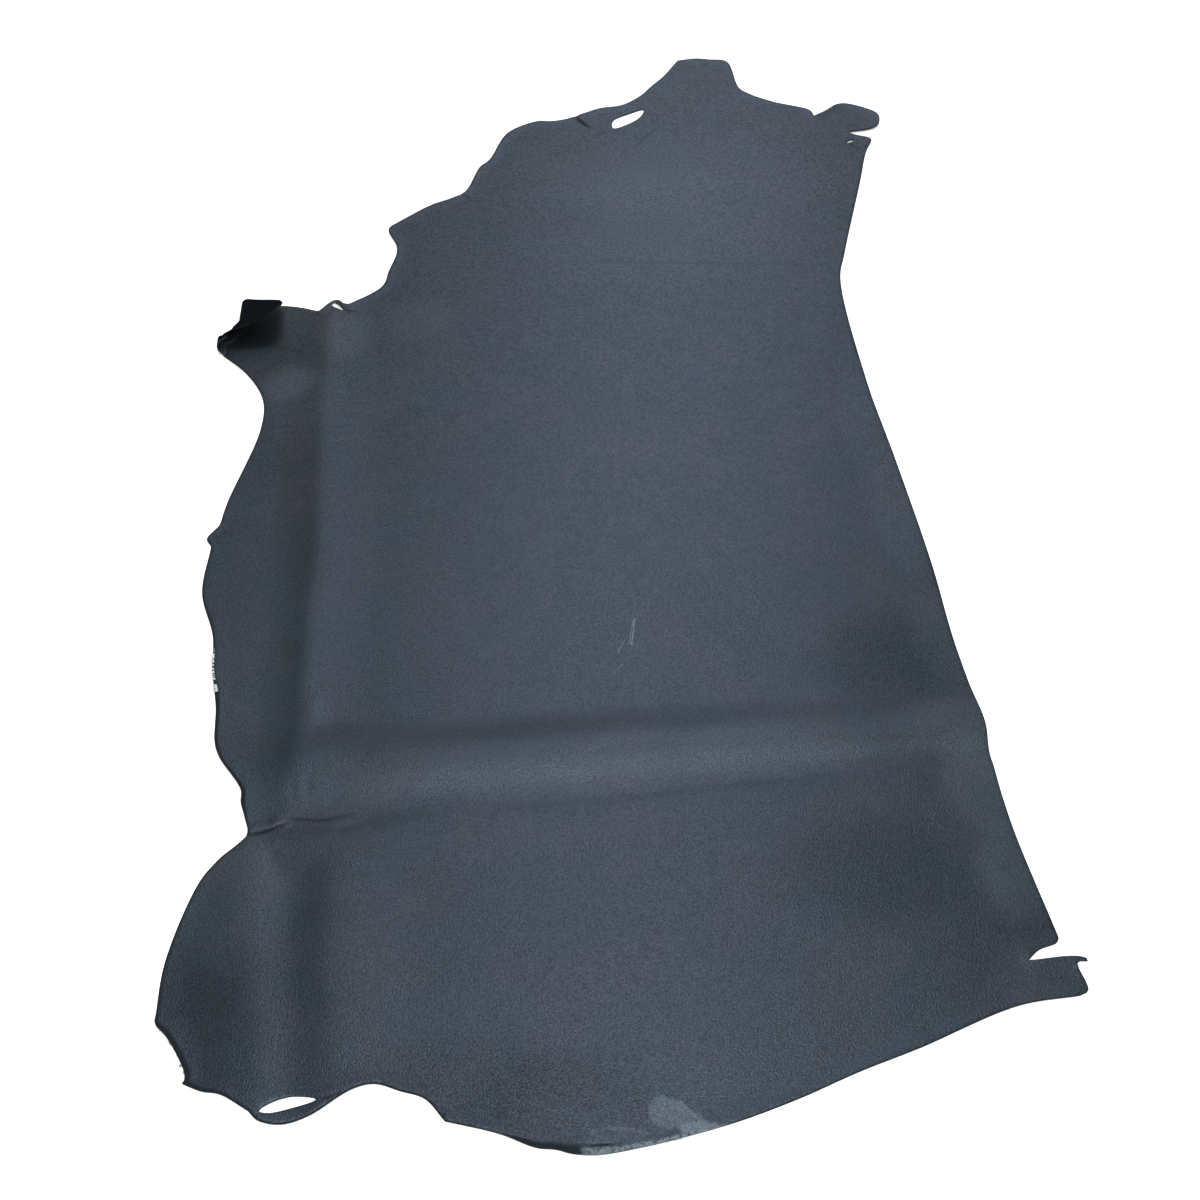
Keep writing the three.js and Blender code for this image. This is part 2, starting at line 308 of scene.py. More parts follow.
SUNKEN_PATCHES = table(
    "along out along_reach out_reach share",
    (230, 1000, 150, 120, 0.08),
    (630, 105, 90, 110, 0.2),
    (310, 200, 80, 140, 0.14),
    (90, 750, 60, 130, 0.14),
    (64, 625, 60, 110, 0.14),
)
PATCH_FADE = 1.6  # where a patch ends, in squares of its reach

# Under the rolled shank painted shade makes the hide dark and matt over a square with round corners, where
# the flap keeps the light off it. The painted shade is full up to SHADE_FULL and gone from SHADE_END on, in
# fourth powers of its reach.
SHANK_PAINTED_SHADE = {"along": 1444, "out": 1088, "along_reach": 58, "out_reach": 56, "share": 0.88}
SHADE_FULL = 0.2
SHADE_END = 1.9

# The raw rim, where the knife and the shaving left no grain: its width and how pale its loose fibres are,
# section by section along the butt and along the belly
BUTT_RIM = table(
    "out width pale",
    (425, 1, 0.0),
    (453, 3, 0.8),
    (481, 4, 0.9),
    (520, 5, 0.9),
    (560, 7, 0.8),
    (590, 11, 0.8),
    (602, 11, 0.7),
    (612, 11, 0.0),
    (640, 8, 0.0),
    (660, 7, 0.0),
    (705, 1, 0.0),
    (800, 2, 0.0),
    (985, 2, 0.0),
    (1060, 5, 0.0),
)
BELLY_RIM = table(
    "along width pale",
    (124, 7, 0.0),
    (185, 6, 0.0),
    (215, 2, 0.0),
    (430, 3, 0.0),
    (452, 1.5, 0.0),
    (485, 6, 0.0),
    (530, 3, 0.0),
    (600, 5, 0.0),
    (660, 6, 0.0),
    (700, 5, 0.2),
    (735, 6, 0.2),
    (750, 3, 0.0),
    (900, 2, 0.0),
    (1370, 1, 0.0),
)
RAW_EDGES = {
    "butt": BUTT_RIM, "hock": BUTT_RIM, "hind shank, near side": BUTT_RIM, "hind shank, end": BELLY_RIM,
    "flank": BELLY_RIM, "belly": BELLY_RIM, "belly tab": BELLY_RIM, "elbow": BELLY_RIM,
}
RIM_THINNING = 1.6  # how much thinner the raw rim is at its very edge
RIM_REACH = 26.0  # how far from the edge the raw rim is looked for
PAST_RIM = 2.0  # its widths from which on there is only grain

# The cutting lattice: its finest spacing, and how far from an edge or a crease it stays fine
LATTICE = 3.0
FINE_BY_CREASE = 10.0
FINE_BY_RAW_EDGE = 9.0
MIDDLING_BY_EDGE = 26.0
EDGE_CLEARANCE = 1.8
SHANK_MARGIN = 6.0


def smooth_edge(places, closed, step):
    """Points about a step apart, from end to end, on a smooth curve through places of the hide."""
    points = np.array([(-out, along) for along, out in places], float)
    if closed:
        points = np.concatenate([points[-1:], points, points[:2]])
    else:
        points = np.concatenate([2 * points[:1] - points[1:2], points, 2 * points[-1:] - points[-2:-1]])
    knots = np.hypot(*(points[1:] - points[:-1]).T) ** 0.5
    part = np.linspace(0, 1, SPAN_PARTS, endpoint=False)[:, None]
    dense = []
    for index in range(1, len(points) - 2):
        before, start, end, after = points[index - 1:index + 3]
        first, middle, last = knots[index - 1:index + 2]
        leaving = (start - before) / first - (end - before) / (first + middle) + (end - start) / middle
        arriving = (end - start) / middle - (after - start) / (middle + last) + (after - end) / last
        square = 3 * (end - start) - (2 * leaving + arriving) * middle
        cube = 2 * (start - end) + (leaving + arriving) * middle
        dense.append(start + leaving * middle * part + square * part**2 + cube * part**3)
    dense = np.concatenate(dense + [points[-2:-1]])
    reached = np.concatenate([[0], np.cumsum(np.hypot(*(dense[1:] - dense[:-1]).T))])
    count = max(len(places) - 1, math.ceil(reached[-1] / step))
    stations = np.linspace(0, reached[-1], count + 1)
    return np.stack([np.interp(stations, reached, dense[:, axis]) for axis in (0, 1)], axis=1)


def column_at(rows, station, column, values):
    """A table's column at each station, smooth between the rows and level past the ends."""
    stations = np.array([row[station] for row in rows], float)
    entries = np.array([row[column] for row in rows], float)
    upper = np.clip(np.searchsorted(stations, values, side="right"), 1, len(rows) - 1)
    part = np.clip((values - stations[upper - 1]) / (stations[upper] - stations[upper - 1]), 0, 1)
    part = part * part * (3 - 2 * part)
    return entries[upper - 1] + (entries[upper] - entries[upper - 1]) * part


def soft_slope(part):
    """From 1 at part 0 to 0 at part 1, level at both ends."""
    return 0.5 + 0.5 * np.cos(np.pi * np.clip(part, 0, 1))


def creased_slope(part):
    """From 1 at part 0, where it is steep, to 0 at part 1, where it is level."""
    return (1 - np.clip(part, 0, 1)) ** 2


def hump(offset, crest, foot):
    """From 0 at no offset up to 1 at the crest, and down to 0 at the foot."""
    rise = soft_slope(1 - offset / crest)
    fall = soft_slope((offset - crest) / (foot - crest))
    return np.where(offset < crest, rise, fall)


def body_fold_lift(along, out):
    foot, crest, crease, end, height, swell = (
        column_at(BODY_FOLD, "out", column, out)
        for column in ("foot", "crest", "crease", "end", "height", "swell")
    )
    far = height * soft_slope((along - crest) / (foot - crest))
    near = height * soft_slope((crest - along) / (crest - crease))
    low = swell * hump(crease - along, SWELL_CREST * (crease - end), crease - end)
    return np.where(along >= crest, far, np.where(along >= crease, near, low))


def belly_fold_lift(along, out):
    ridge, height, back_foot, belly_foot = (
        column_at(BELLY_FOLD, "along", column, along)
        for column in ("out", "height", "back_foot", "belly_foot")
    )
    foot = np.where(out > ridge, belly_foot, back_foot)
    distance = np.hypot(out - ridge, RIDGE_ROUND) - RIDGE_ROUND
    return height * creased_slope(distance / foot)


def leg_fold_lift(along, out):
    def at(column):
        return column_at(LEG_FOLD, "along", column, along)

    offset = out - at("out")
    belly = at("belly_height") * hump(offset, at("belly_crest"), at("belly_foot"))
    back = at("back_height") * hump(-offset, at("back_crest"), at("back_foot"))
    return np.where(along > LEG_FOLD[-1]["along"], 0, np.where(offset > 0, belly, back))


def how_far(row, along, out, power):
    """How far each place is from the middle of a row's patch, as a power of its reach."""
    onwards = (along - row["along"]) / row["along_reach"]
    sideways = (out - row["out"]) / row["out_reach"]
    return onwards**power + sideways**power


def swell_lift(along, out):
    return sum(row["height"] * np.exp(-how_far(row, along, out, 2)) for row in SWELLS)


def beside(points, path, reach):
    """Which points lie within about a reach of a path, found by square cells of that size."""
    base = np.minimum(points.min(axis=0), path.min(axis=0)) - 2 * reach
    shape = ((np.maximum(points.max(axis=0), path.max(axis=0)) - base) / reach).astype(int) + 3
    cells = np.zeros(shape, bool)
    column, row = ((path - base) / reach).astype(int).T
    for sideways in (-1, 0, 1):
        for onwards in (-1, 0, 1):
            cells[column + sideways, row + onwards] = True
    column, row = ((points - base) / reach).astype(int).T
    return cells[column, row]


def distance_to(points, path, reach):
    """Distance from each point to a path, at most the reach, and the share of the path at which it is."""
    distance = np.full(len(points), float(reach))
    share = np.zeros(len(points))
    near = np.flatnonzero(beside(points, path, max(reach, OUTLINE_STEP)))
    for index in range(len(path) - 1):
        start, run = path[index], path[index + 1] - path[index]
        part = np.clip(((points[near] - start) @ run) / (run @ run), 0, 1)
        gap = np.hypot(*(points[near] - start - part[:, None] * run).T)
        closer = gap < distance[near]
        share[near[closer]] = (index + part[closer]) / (len(path) - 1)
        distance[near[closer]] = gap[closer]
    return distance, share


def edge_lift(points):
    lift = np.zeros(len(points))
    for stretch, path in zip(OUTLINE, edge_paths):
        if stretch["lift"]:
            distance, _ = distance_to(points, path, stretch["reach"])
            lift = np.maximum(lift, stretch["lift"] * creased_slope(distance / stretch["reach"]))
    return lift


def crease_drop(points):
    """How deep the creases are at each point, and how dark with cracked finish and painted shade."""
    drop = np.zeros(len(points))
    dark = np.zeros(len(points))
    for row, path in zip(CREASES, crease_paths):
        distance, share = distance_to(points, path, 2 * row["width"])
        fading = np.sin(np.pi * np.clip(share, CREASE_END, 1 - CREASE_END)) ** 0.5
        trough = fading * np.exp(-((2 * distance / row["width"]) ** 2))
        drop = np.maximum(drop, row["depth"] * trough)
        dark = np.maximum(dark, row["dark"] * trough)
    return drop, dark


def patches_and_painted_shade(laid):
    """How dusty the finish is at each point of the lying sheet, how sunk, and the painted shade under the
    shank.
    """
    along = laid[:, 1] / MM + CENTRE_ALONG
    out = CENTRE_OUT - laid[:, 0] / MM
    dusty, sunk = (
        sum(row["share"] * soft_slope(how_far(row, along, out, 2) / PATCH_FADE) for row in patches)
        for patches in (DUSTY_PATCHES, SUNKEN_PATCHES)
    )
    fading = (how_far(SHANK_PAINTED_SHADE, along, out, 4) - SHADE_FULL) / (SHADE_END - SHADE_FULL)
    return dusty, sunk, SHANK_PAINTED_SHADE["share"] * soft_slope(fading)


def raw_rim(points):
    """How far each point is from the edge, in widths of the raw rim, and how pale the rim is there."""
    widths = np.full(len(points), PAST_RIM)
    pale = np.zeros(len(points))
    for stretch, path in zip(OUTLINE, edge_paths):
        if stretch["edge"] in RAW_EDGES:
            rim = RAW_EDGES[stretch["edge"]]
            station = "out" if rim is BUTT_RIM else "along"
            places = -points[:, 0] if station == "out" else points[:, 1]
            distance, _ = distance_to(points, path, RIM_REACH)
            here = distance / column_at(rim, station, "width", places)
            pale = np.where(here < widths, column_at(rim, station, "pale", places), pale)
            widths = np.minimum(widths, here)
    return widths, pale


def lay_down(points, height):
    """The flat sheet bent to the way it lies, at a height above its flesh side. Metres, in the frame."""
    out, along = -points[:, 0], points[:, 1]
    roll_out, radius, turn, lean = (
        column_at(SHANK_ROLL, "along", column, along) for column in ("out", "radius", "turn", "lean")
    )
    turn = np.radians(turn)
    past = out - roll_out
    rolled = (along > SHANK_ROLL[0]["along"]) & (past > 0)
    centre = radius + THICKNESS
    middle = centre - THICKNESS / 2
    angle = np.clip(past / middle, 0, turn)
    flap = np.maximum(0, past - middle * turn)
    rolled_out = roll_out + (centre - height) * np.sin(angle) + flap * np.cos(turn)
    rolled_up = centre - (centre - height) * np.cos(angle) + flap * np.sin(turn)
    folds = np.maximum(body_fold_lift(along, out), leg_fold_lift(along, out)) + belly_fold_lift(along, out)
    drop, _ = crease_drop(points)
    lying = np.maximum(0, folds + edge_lift(points) + swell_lift(along, out) - drop) + height
    x = CENTRE_OUT - np.where(rolled, rolled_out, out)
    y = np.where(rolled, along - flap * lean, along) - CENTRE_ALONG
    z = np.where(rolled, rolled_up, lying)
    return np.stack([x, y, z], axis=1) * MM


def inside(points, loop):
    """Which points lie inside a closed loop."""
    found = np.zeros(len(points), bool)
    x, y = points.T
    for start, end in zip(loop, np.roll(loop, -1, axis=0)):
        crosses = (start[1] > y) != (end[1] > y)
        rise = end[1] - start[1] if end[1] != start[1] else 1.0
        found ^= crosses & (x < start[0] + (y - start[1]) / rise * (end[0] - start[0]))
    return found


def inset(loop, depth):
    """A loop moved into the leather, which lies on its left."""
    ahead = np.roll(loop, -1, axis=0) - np.roll(loop, 1, axis=0)
    ahead /= np.hypot(*ahead.T)[:, None]
    return loop + depth * np.stack([-ahead[:, 1], ahead[:, 0]], axis=1)


edge_paths = [
    smooth_edge(stretch["places"] + following["places"][:1], False, OUTLINE_STEP)
    for stretch, following in zip(OUTLINE, OUTLINE[1:] + OUTLINE[:1])
]
crease_paths = [smooth_edge(row["places"], False, OUTLINE_STEP) for row in CREASES]
outline = np.concatenate([path[:-1] for path in edge_paths])[::-1]
loops = [outline] + [smooth_edge(places, True, HOLE_STEP)[:-1] for places in HOLES.values()]

# The lattice on the flat hide: fine on the shank, the creases and the raw rim, middling on the folds and by
# the other edges, and coarse where the hide is flat. The flesh side, underneath, is fine on the shank alone.
low, high = outline.min(axis=0), outline.max(axis=0)
row_height = LATTICE * math.sqrt(0.75)
row_count = math.ceil((high[1] - low[1]) / row_height)
column_count = math.ceil((high[0] - low[0]) / LATTICE)
grids = np.meshgrid(np.arange(-row_count // 2, column_count), np.arange(row_count))
column, row = (grid.ravel() for grid in grids)
lattice = np.stack([low[0] + LATTICE * (column + 0.5 * row), low[1] + row_height * row], axis=1)
out, along = -lattice[:, 0], lattice[:, 1]
every_second = (column % 2 == 0) & (row % 2 == 0)
every_fourth = (column % 4 == 0) & (row % 4 == 0)
on_shank = (along > SHANK_ROLL[0]["along"]) & (out > SHANK_ROLL[-1]["out"] - SHANK_MARGIN)
middling = np.maximum(belly_fold_lift(along, out), leg_fold_lift(along, out)) > 0
middling |= body_fold_lift(along, out) > 0
fine = on_shank.copy()
for loop in loops:
    middling |= beside(lattice, loop, MIDDLING_BY_EDGE)
for path in crease_paths:
    fine |= beside(lattice, path, FINE_BY_CREASE)
for stretch, path in zip(OUTLINE, edge_paths):
    if stretch["edge"] in RAW_EDGES:
        fine |= beside(lattice, path, FINE_BY_RAW_EDGE)
on_grain = fine | (middling & every_second) | every_fourth
on_flesh = on_shank | every_fourth
kept = on_grain | on_flesh
lattice, on_grain, on_flesh = lattice[kept], on_grain[kept], on_flesh[kept]
kept = inside(lattice, outline)
for loop in loops:
    distance, _ = distance_to(lattice, np.concatenate([loop, loop[:1]]), EDGE_ROUND + EDGE_CLEARANCE)
    kept &= distance >= EDGE_ROUND + EDGE_CLEARANCE
for hole in loops[1:]:
    kept &= ~inside(lattice, hole)

# Each face of the sheet is cut from its lattice along the rims, which are worn round at the grain and the
# flesh. Points nearer than MERGE_WITHIN become one, and the triangles inside the outline are kept.
MERGE_WITHIN = 1e-5
INSIDE_ONLY = 1
rims = [inset(loop, EDGE_ROUND) for loop in loops]
rim_starts = np.cumsum([0] + [len(rim) for rim in rims])
chains = []
for rim_start, rim in zip(rim_starts, rims):
    chains += [(rim_start + index, rim_start + (index + 1) % len(rim)) for index in range(len(rim))]


def cut_face(points):
    """The points and triangles of one face of the flat sheet, and where each rim point went in it."""
    points = np.concatenate(rims + [points])
    vectors = [Vector(point) for point in points]
    cut = delaunay_2d_cdt(vectors, chains, [], INSIDE_ONLY, MERGE_WITHIN)
    cut_points, _, triangles, sources, _, _ = cut
    cut_points = np.array([tuple(point) for point in cut_points])
    triangles = np.array(triangles)
    middles = cut_points[triangles].mean(axis=1)
    in_hole = np.zeros(len(triangles), bool)
    for rim in rims[1:]:
        in_hole |= inside(middles, rim)
    went_to = np.zeros(len(points), int)
    for index, source in enumerate(sources):
        went_to[source] = index
    return cut_points, triangles[~in_hole], went_to[:len(chains)]


# The sheet's four levels: grain, the two lines of the cut edge, flesh. The raw rim is thinner at its edge.
grain_flat, grain_faces, grain_ring = cut_face(lattice[kept & on_grain])
flesh_flat, flesh_faces, flesh_ring = cut_face(lattice[kept & on_flesh])
cut_edge = np.concatenate(loops)
flat_levels = [grain_flat, cut_edge, cut_edge, flesh_flat]
levels = []
point_values = []
for flat, height in zip(flat_levels, (THICKNESS, THICKNESS - EDGE_ROUND, EDGE_ROUND, 0.0)):
    level = lay_down(flat, height)
    widths, pale = raw_rim(flat)
    _, dark = crease_drop(flat)
    before_shank = flat[:, 1] < SHANK_ROLL[0]["along"]
    level[:, 2] -= RIM_THINNING * MM * height / THICKNESS * np.clip(1 - widths, 0, 1) * before_shank
    levels.append(level)
    point_values.append((widths, pale, dark, *patches_and_painted_shade(level)))
level_starts = np.cumsum([0] + [len(level) for level in levels])
following = np.array([end for _, end in chains])
rings = [
    grain_ring,
    np.arange(len(cut_edge)) + level_starts[1],
    np.arange(len(cut_edge)) + level_starts[2],
    flesh_ring + level_starts[3],
]
walls = [
    np.stack([above, below, below[following], above[following]], axis=1)
    for above, below in zip(rings[:-1], rings[1:])
]
side_mesh = bpy.data.meshes.new("leather_side_sheet")
face_groups = [grain_faces, flesh_faces[:, ::-1] + level_starts[3], *walls]
side_faces = [face for group in face_groups for face in group.tolist()]
side_mesh.from_pydata(np.concatenate(levels).tolist(), [], side_faces)
finish_of = [0] * len(grain_faces) + [1] * len(flesh_faces) + [2] * (len(walls) * len(cut_edge))
side_mesh.polygons.foreach_set("material_index", finish_of)
side_mesh.polygons.foreach_set("use_smooth", [True] * len(finish_of))
POINT_VALUES = ("rim_widths", "rim_pale", "crease", "dusty", "sunk", "shade")
for name, values in zip(POINT_VALUES, zip(*point_values)):
    layer = side_mesh.attributes.new(name, "FLOAT", "POINT")
    layer.data.foreach_set("value", np.concatenate(values))

# The map of the sheet is its own flat cutting pattern: the grain with the cut edge as a seam allowance round
# it, and the flesh beside it at a smaller scale
PATTERN_WIDTH = 2320.0  # the square that the pattern is laid out on
PATTERN_MARGIN = 20.0
EDGE_ALLOWANCE = 4.0
EDGE_LINES = (0.2, 0.8, 1.0)  # where the lines of the cut edge lie in the allowance
FLESH_SCALE = 0.58
allowances = [
    np.concatenate([inset(loop, -share * EDGE_ALLOWANCE) for loop in loops]) - low + PATTERN_MARGIN
    for share in EDGE_LINES
]
flesh_corner = [high[0] - low[0] + 2 * PATTERN_MARGIN, PATTERN_MARGIN]
flesh_pattern = (flesh_flat - low) * FLESH_SCALE + flesh_corner
pattern = np.concatenate([grain_flat - low + PATTERN_MARGIN, allowances[0], allowances[1], flesh_pattern])
flesh_edge = np.zeros((len(pattern), 2))
flesh_edge[rings[3]] = allowances[2]
corner_points = np.zeros(len(side_mesh.loops), int)
side_mesh.loops.foreach_get("vertex_index", corner_points)
on_wall = np.arange(len(corner_points)) >= 3 * (len(grain_faces) + len(flesh_faces))
on_flesh_edge = on_wall & (corner_points >= level_starts[3])
places = np.where(on_flesh_edge[:, None], flesh_edge[corner_points], pattern[corner_points]) / PATTERN_WIDTH
side_mesh.uv_layers.new(name="OFBake").data.foreach_set("uv", places.ravel())
side_mesh.update()
side = bpy.data.objects.new("leather_side_sheet", side_mesh)
bpy.context.scene.collection.objects.link(side)


def add_node(tree, kind, settings, sockets):
    """A new node in a tree: its settings are made first, then its sockets are set or linked."""
    made = tree.nodes.new(kind)
    for name, value in settings.items():
        setattr(made, name, value)
    for name, value in sockets.items():
        socket = next(entry for entry in made.inputs if name in (entry.identifier, entry.name))
        if isinstance(value, bpy.types.NodeSocket):
            tree.links.new(value, socket)
        else:
            socket.default_value = value
    return made


class Shade:
    """A socket of a material's tree, so that what the material works out is written as plain expressions."""

    def __init__(self, tree, socket):
        self.tree = tree
        self.socket = socket

    def node(self, kind, output, settings, sockets):
        """The named output of a new node of that kind."""
        plain = {}
        for name, value in sockets.items():
            plain[name] = value.socket if isinstance(value, Shade) else value
        made = add_node(self.tree, "ShaderNode" + kind, settings, plain)
        found = next(entry for entry in made.outputs if output in (entry.identifier, entry.name))
        return Shade(self.tree, found)

    def math(self, operation, first, second):
        return self.node("Math", "Value", {"operation": operation}, {"Value": first, "Value_001": second})

    def __add__(self, other):
        return self.math("ADD", self, other)

    __radd__ = __add__

    def __sub__(self, other):
        return self.math("SUBTRACT", self, other)

    def __rsub__(self, other):
        return self.math("SUBTRACT", other, self)

    def __mul__(self, other):
        return self.math("MULTIPLY", self, other)

    __rmul__ = __mul__

    def at_least(self, other):
        return self.math("MAXIMUM", self, other)

    def at_most(self, other):
        return self.math("MINIMUM", self, other)

    def rising(self, start, end):
        """0 up to the start, 1 from the end on, smooth between. It falls where the end is below the start."""
        sockets = {"Value": self, "From Min": start, "From Max": end}
        return self.node("MapRange", "Result", {"interpolation_type": "SMOOTHSTEP"}, sockets)

    def colours(self, at_none, at_full):
        """A colour that goes from one to the other with this share."""
        at_none, at_full = (
            colour if isinstance(colour, Shade) else (*colour, 1.0) for colour in (at_none, at_full)
        )
        sockets = {"Factor_Float": self, "A_Color": at_none, "B_Color": at_full}
        return self.node("Mix", "Result_Color", {"data_type": "RGBA"}, sockets)

    def noise(self, scale, detail, roughness):
        """Noise at this place, with features of about one part in `scale` of a metre."""
        sockets = {"Vector": self, "Scale": scale, "Detail": detail, "Roughness": roughness}
        return self.node("TexNoise", "Fac", {}, sockets)

    def cells(self, scale):
        """Distance to the middle of the cell at this place, of cells of one part in `scale` of a metre."""
        settings = {"feature": "F1", "voronoi_dimensions": "2D"}
        return self.node("TexVoronoi", "Distance", settings, {"Vector": self, "Scale": scale})

    def point_value(self, name):
        """A value that the mesh has at each of its points."""
        return self.node("Attribute", "Fac", {"attribute_name": name}, {})

    def relief(self, depth):
        """The normal of a surface with this height, of a depth in metres."""
        return self.node("Bump", "Normal", {}, {"Height": self, "Distance": depth, "Strength": 1.0})


def leather_material(name, gloss):
    """A material with its shader's gloss set, and the place on the side for its patterns."""
    material = bpy.data.materials.new(name)
    material.use_nodes = True
    tree = material.node_tree
    shader = tree.nodes["Principled BSDF"]
    shader.inputs["Specular IOR Level"].default_value = gloss
    shader.inputs["Specular Tint"].default_value = (*SHEEN, 1.0)
    return material, shader, Shade(tree, tree.nodes.new("ShaderNodeTexCoord").outputs["Object"])


def feed(shader, **values):
    """Values led to the shader's inputs of those names."""
    for name, value in values.items():
        value.tree.links.new(value.socket, shader.inputs[name.replace("_", " ")])


# The grain: dyed blue-black and lightly finished, clouded where the hide took the dye unevenly, with fine
# pores. Scuffs and scratches show paler. In the pores and the raw rim the bare hide shows; in the creases
# it shows with painted shade, and under the rolled shank painted shade makes the grain dark and matt.
SHEEN = (0.58, 0.74, 1.0)
GRAIN_DEEP = (0.0022, 0.0028, 0.0038)
GRAIN_COOL = (0.0020, 0.0070, 0.0092)
GRAIN_WARM = (0.0110, 0.0080, 0.0106)
SCUFFED = (0.065, 0.080, 0.100)
# the bare hide's dark colour, which also serves as painted shade in the creases and under the rolled shank
BARE_AND_PAINTED_SHADE = (0.0025, 0.0030, 0.0034)
RAW_DARK = (0.008, 0.011, 0.013)
RAW_PALE = (0.115, 0.140, 0.165)
BARE_GLOSS = 0.04
BARE_ROUGHNESS = 0.9
GRAIN_GLOSS = 0.5
GRAIN_ROUGHNESS = 0.25
PORE_DEPTH = 0.0005
PORES_BARE = 0.36
SCRATCHES = [
    {"width": 2.2, "strength": 1.0, "places": [(736, 467), (690, 477)]},
    {"width": 1.6, "strength": 0.7, "places": [(733, 470), (691, 481)]},
    {"width": 1.8, "strength": 0.6, "places": [(699, 486), (677, 499)]},
    {"width": 1.6, "strength": 0.5, "places": [(657, 494), (641, 510)]},
]
SCUFFS = [
    {"width": 33, "strength": 0.50, "places": [(40, 511), (37, 504)]},
    {"width": 25, "strength": 0.44, "places": [(35, 500), (23, 477)]},
    {"width": 5, "strength": 0.65, "places": [(47, 490), (29, 472), (17, 456)]},
    {"width": 15, "strength": 1.0, "places": [(19, 486), (18, 472), (14, 456)]},
    {"width": 5, "strength": 0.28, "places": [(24, 598), (28, 578), (24, 553), (18, 533)]},
    {"width": 14, "strength": 0.10, "places": [(18, 594), (18, 570), (16, 540)]},
]
MARK_SOFTNESS = 3.0  # the soft rim of a wide mark
MARK_RIM = 0.35  # the soft rim of a narrow mark, as a share of half its width
MARK_WANDER = 1.4  # how far a mark's rim wanders, in widths of its soft rim


def frame_place(along, out):
    """A place of the flat hide in the frame, in metres."""
    return (CENTRE_OUT - out) * MM, (along - CENTRE_ALONG) * MM


def stroke(x, y, row, wander):
    """The mask of a mark through some places of the hide, soft at its rim, which a noise makes uneven."""
    half = row["width"] * MM / 2
    places = [frame_place(*place) for place in row["places"]]
    nearest = None
    for start, end in zip(places[:-1], places[1:]):
        length = math.dist(start, end)
        ahead = ((end[0] - start[0]) / length, (end[1] - start[1]) / length)
        along_mark = (x - start[0]) * ahead[0] + (y - start[1]) * ahead[1]
        across = (y - start[1]) * ahead[0] - (x - start[0]) * ahead[1]
        past = along_mark - along_mark.at_least(0.0).at_most(length)
        distance = x.math("POWER", past * past + across * across, 0.5)
        nearest = distance if nearest is None else nearest.at_most(distance)
    soft = min(MARK_RIM * half, MARK_SOFTNESS * MM)
    return (nearest + wander * (MARK_WANDER * soft)).rising(half + soft, half - soft) * row["strength"]


grain, shader, place = leather_material("grain", GRAIN_GLOSS)
x, y = (place.node("SeparateXYZ", axis, {}, {"Vector": place}) for axis in "XY")
widths, pale, broken_and_shaded, dusty, sunk, shade = (place.point_value(name) for name in POINT_VALUES)
clouds = place.noise(5.0, detail=2.0, roughness=0.55)
mottle = place.noise(34.0, detail=2.0, roughness=0.6)
cast = place.noise(9.0, detail=2.0, roughness=0.6).rising(0.36, 0.64)
speckle = place.noise(560.0, detail=2.0, roughness=0.6)
fuzz = place.noise(420.0, detail=1.0, roughness=0.7)
streaks = place.noise(260.0, detail=2.0, roughness=0.75)
pebbles = place.cells(420.0)
pores = place.cells(950.0)

# The pores are finer on the butt than on the neck
towards_neck = y.rising(-1.1, 0.9)
butt_grit = place.noise(440.0, detail=1.0, roughness=0.5)
neck_grit = place.noise(225.0, detail=1.0, roughness=0.5)
grit = butt_grit * (1 - towards_neck) + neck_grit * towards_neck
open_pores = (speckle * 0.45 + grit * 0.55).rising(0.42, 0.60) * PORES_BARE

# The scratches and scuffs are patchy where the finish still holds
wander = place.noise(160.0, detail=1.0, roughness=0.6) - 0.5
worn = stroke(x, y, SCRATCHES[0], wander)
for mark in SCRATCHES[1:] + SCUFFS:
    worn = worn.at_least(stroke(x, y, mark, wander))
worn = worn * (0.55 + fuzz * 0.9)

# The dye is paler in some clouds and specks than in others, and its cast is here cooler, there warmer
faded = (clouds * 0.40 + mottle * 0.25 + speckle * 0.35).rising(0.36, 0.64)
dye = faded.colours(GRAIN_DEEP, cast.colours(GRAIN_COOL, GRAIN_WARM))
colour = worn.at_least(dusty).colours(dye, SCUFFED)
height = (1 - pebbles) * 0.6 + (1 - pores) * 0.25 + speckle * 0.35
roughness = GRAIN_ROUGHNESS + clouds * 0.06 + speckle * 0.16 + worn * 0.12
feed(shader, Base_Color=colour, Roughness=roughness, Normal=height.relief(PORE_DEPTH))

# The bare hide has no finish: dark in the pores, and dark in the creases as painted shade, with loose fibres
# on the raw rim. Under the rolled shank it stands in as painted shade.
bare = grain.node_tree.nodes.new("ShaderNodeBsdfPrincipled")
bare.inputs["Specular IOR Level"].default_value = BARE_GLOSS
bare.inputs["Roughness"].default_value = BARE_ROUGHNESS
raw = (widths + (fuzz - 0.5) * 0.6).rising(1.45, 0.60)
fibres = (pale * streaks.rising(0.25, 0.62)).colours(RAW_DARK, RAW_PALE)
# in the creases the bare hide keeps its dark colour, painted shade of the trough
feed(bare, Base_Color=(raw - broken_and_shaded).at_least(0.0).colours(BARE_AND_PAINTED_SHADE, fibres))
# the grain turns to the bare hide in the open pores, the sunken patches and the raw rim, and as painted shade
# in the creases and under the rolled shank
finish = grain.node_tree.nodes.new("ShaderNodeMixShader")
feed(finish, Fac=(open_pores + sunk).at_least(raw).at_least(broken_and_shaded).at_least(shade))
grain.node_tree.links.new(shader.outputs[0], finish.inputs[1])
grain.node_tree.links.new(bare.outputs[0], finish.inputs[2])
grain.node_tree.links.new(finish.outputs[0], grain.node_tree.nodes["Material Output"].inputs["Surface"])
side_mesh.materials.append(grain)

